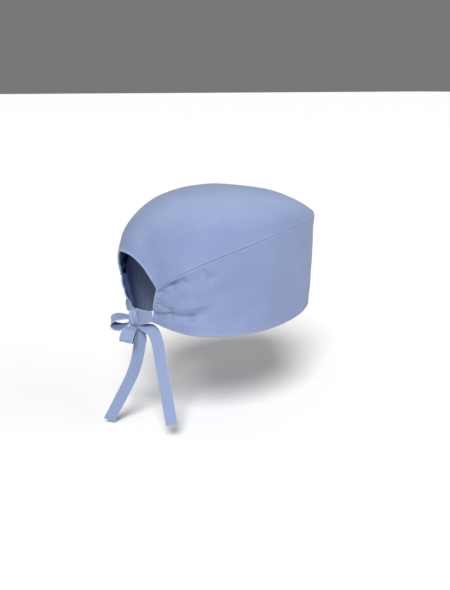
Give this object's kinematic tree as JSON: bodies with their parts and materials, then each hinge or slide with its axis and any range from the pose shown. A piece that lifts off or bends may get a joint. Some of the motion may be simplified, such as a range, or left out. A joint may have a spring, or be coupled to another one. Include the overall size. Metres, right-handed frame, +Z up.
{
  "type": "surgical cap",
  "caption": "Tie-back surgical cap with a domed crown, a deep band round the head and a bow of two ties behind the nape.",
  "frame": {"origin": "middle of the head opening, near the level of the band's rim, which is lowest over the ears", "axes": "+Z up to the crown, -Y to the wearer's brow, +Y to the nape and the bow, -X to the wearer's right"},
  "size_m": [0.1622, 0.2353, 0.2522],
  "materials": {
    "blue_cloth": "ceil-blue plain-woven cotton and polyester cloth, matt",
    "slate_lining": "dark slate plain-woven lining, matt",
    "blue_tie": "the same ceil-blue cloth, folded and stitched flat, matt"
  },
  "bodies": {
    "root": {"crown": "blue_cloth", "side_band": "blue_cloth", "band_lining": "slate_lining", "tie_strap_right": "blue_tie", "tie_strap_left": "blue_tie", "knot": "blue_tie", "bow_loop_left": "blue_tie", "bow_loop_right": "blue_tie", "tie_tail_right": "blue_tie", "tie_tail_left": "blue_tie"}
  },
  "joints": []
}
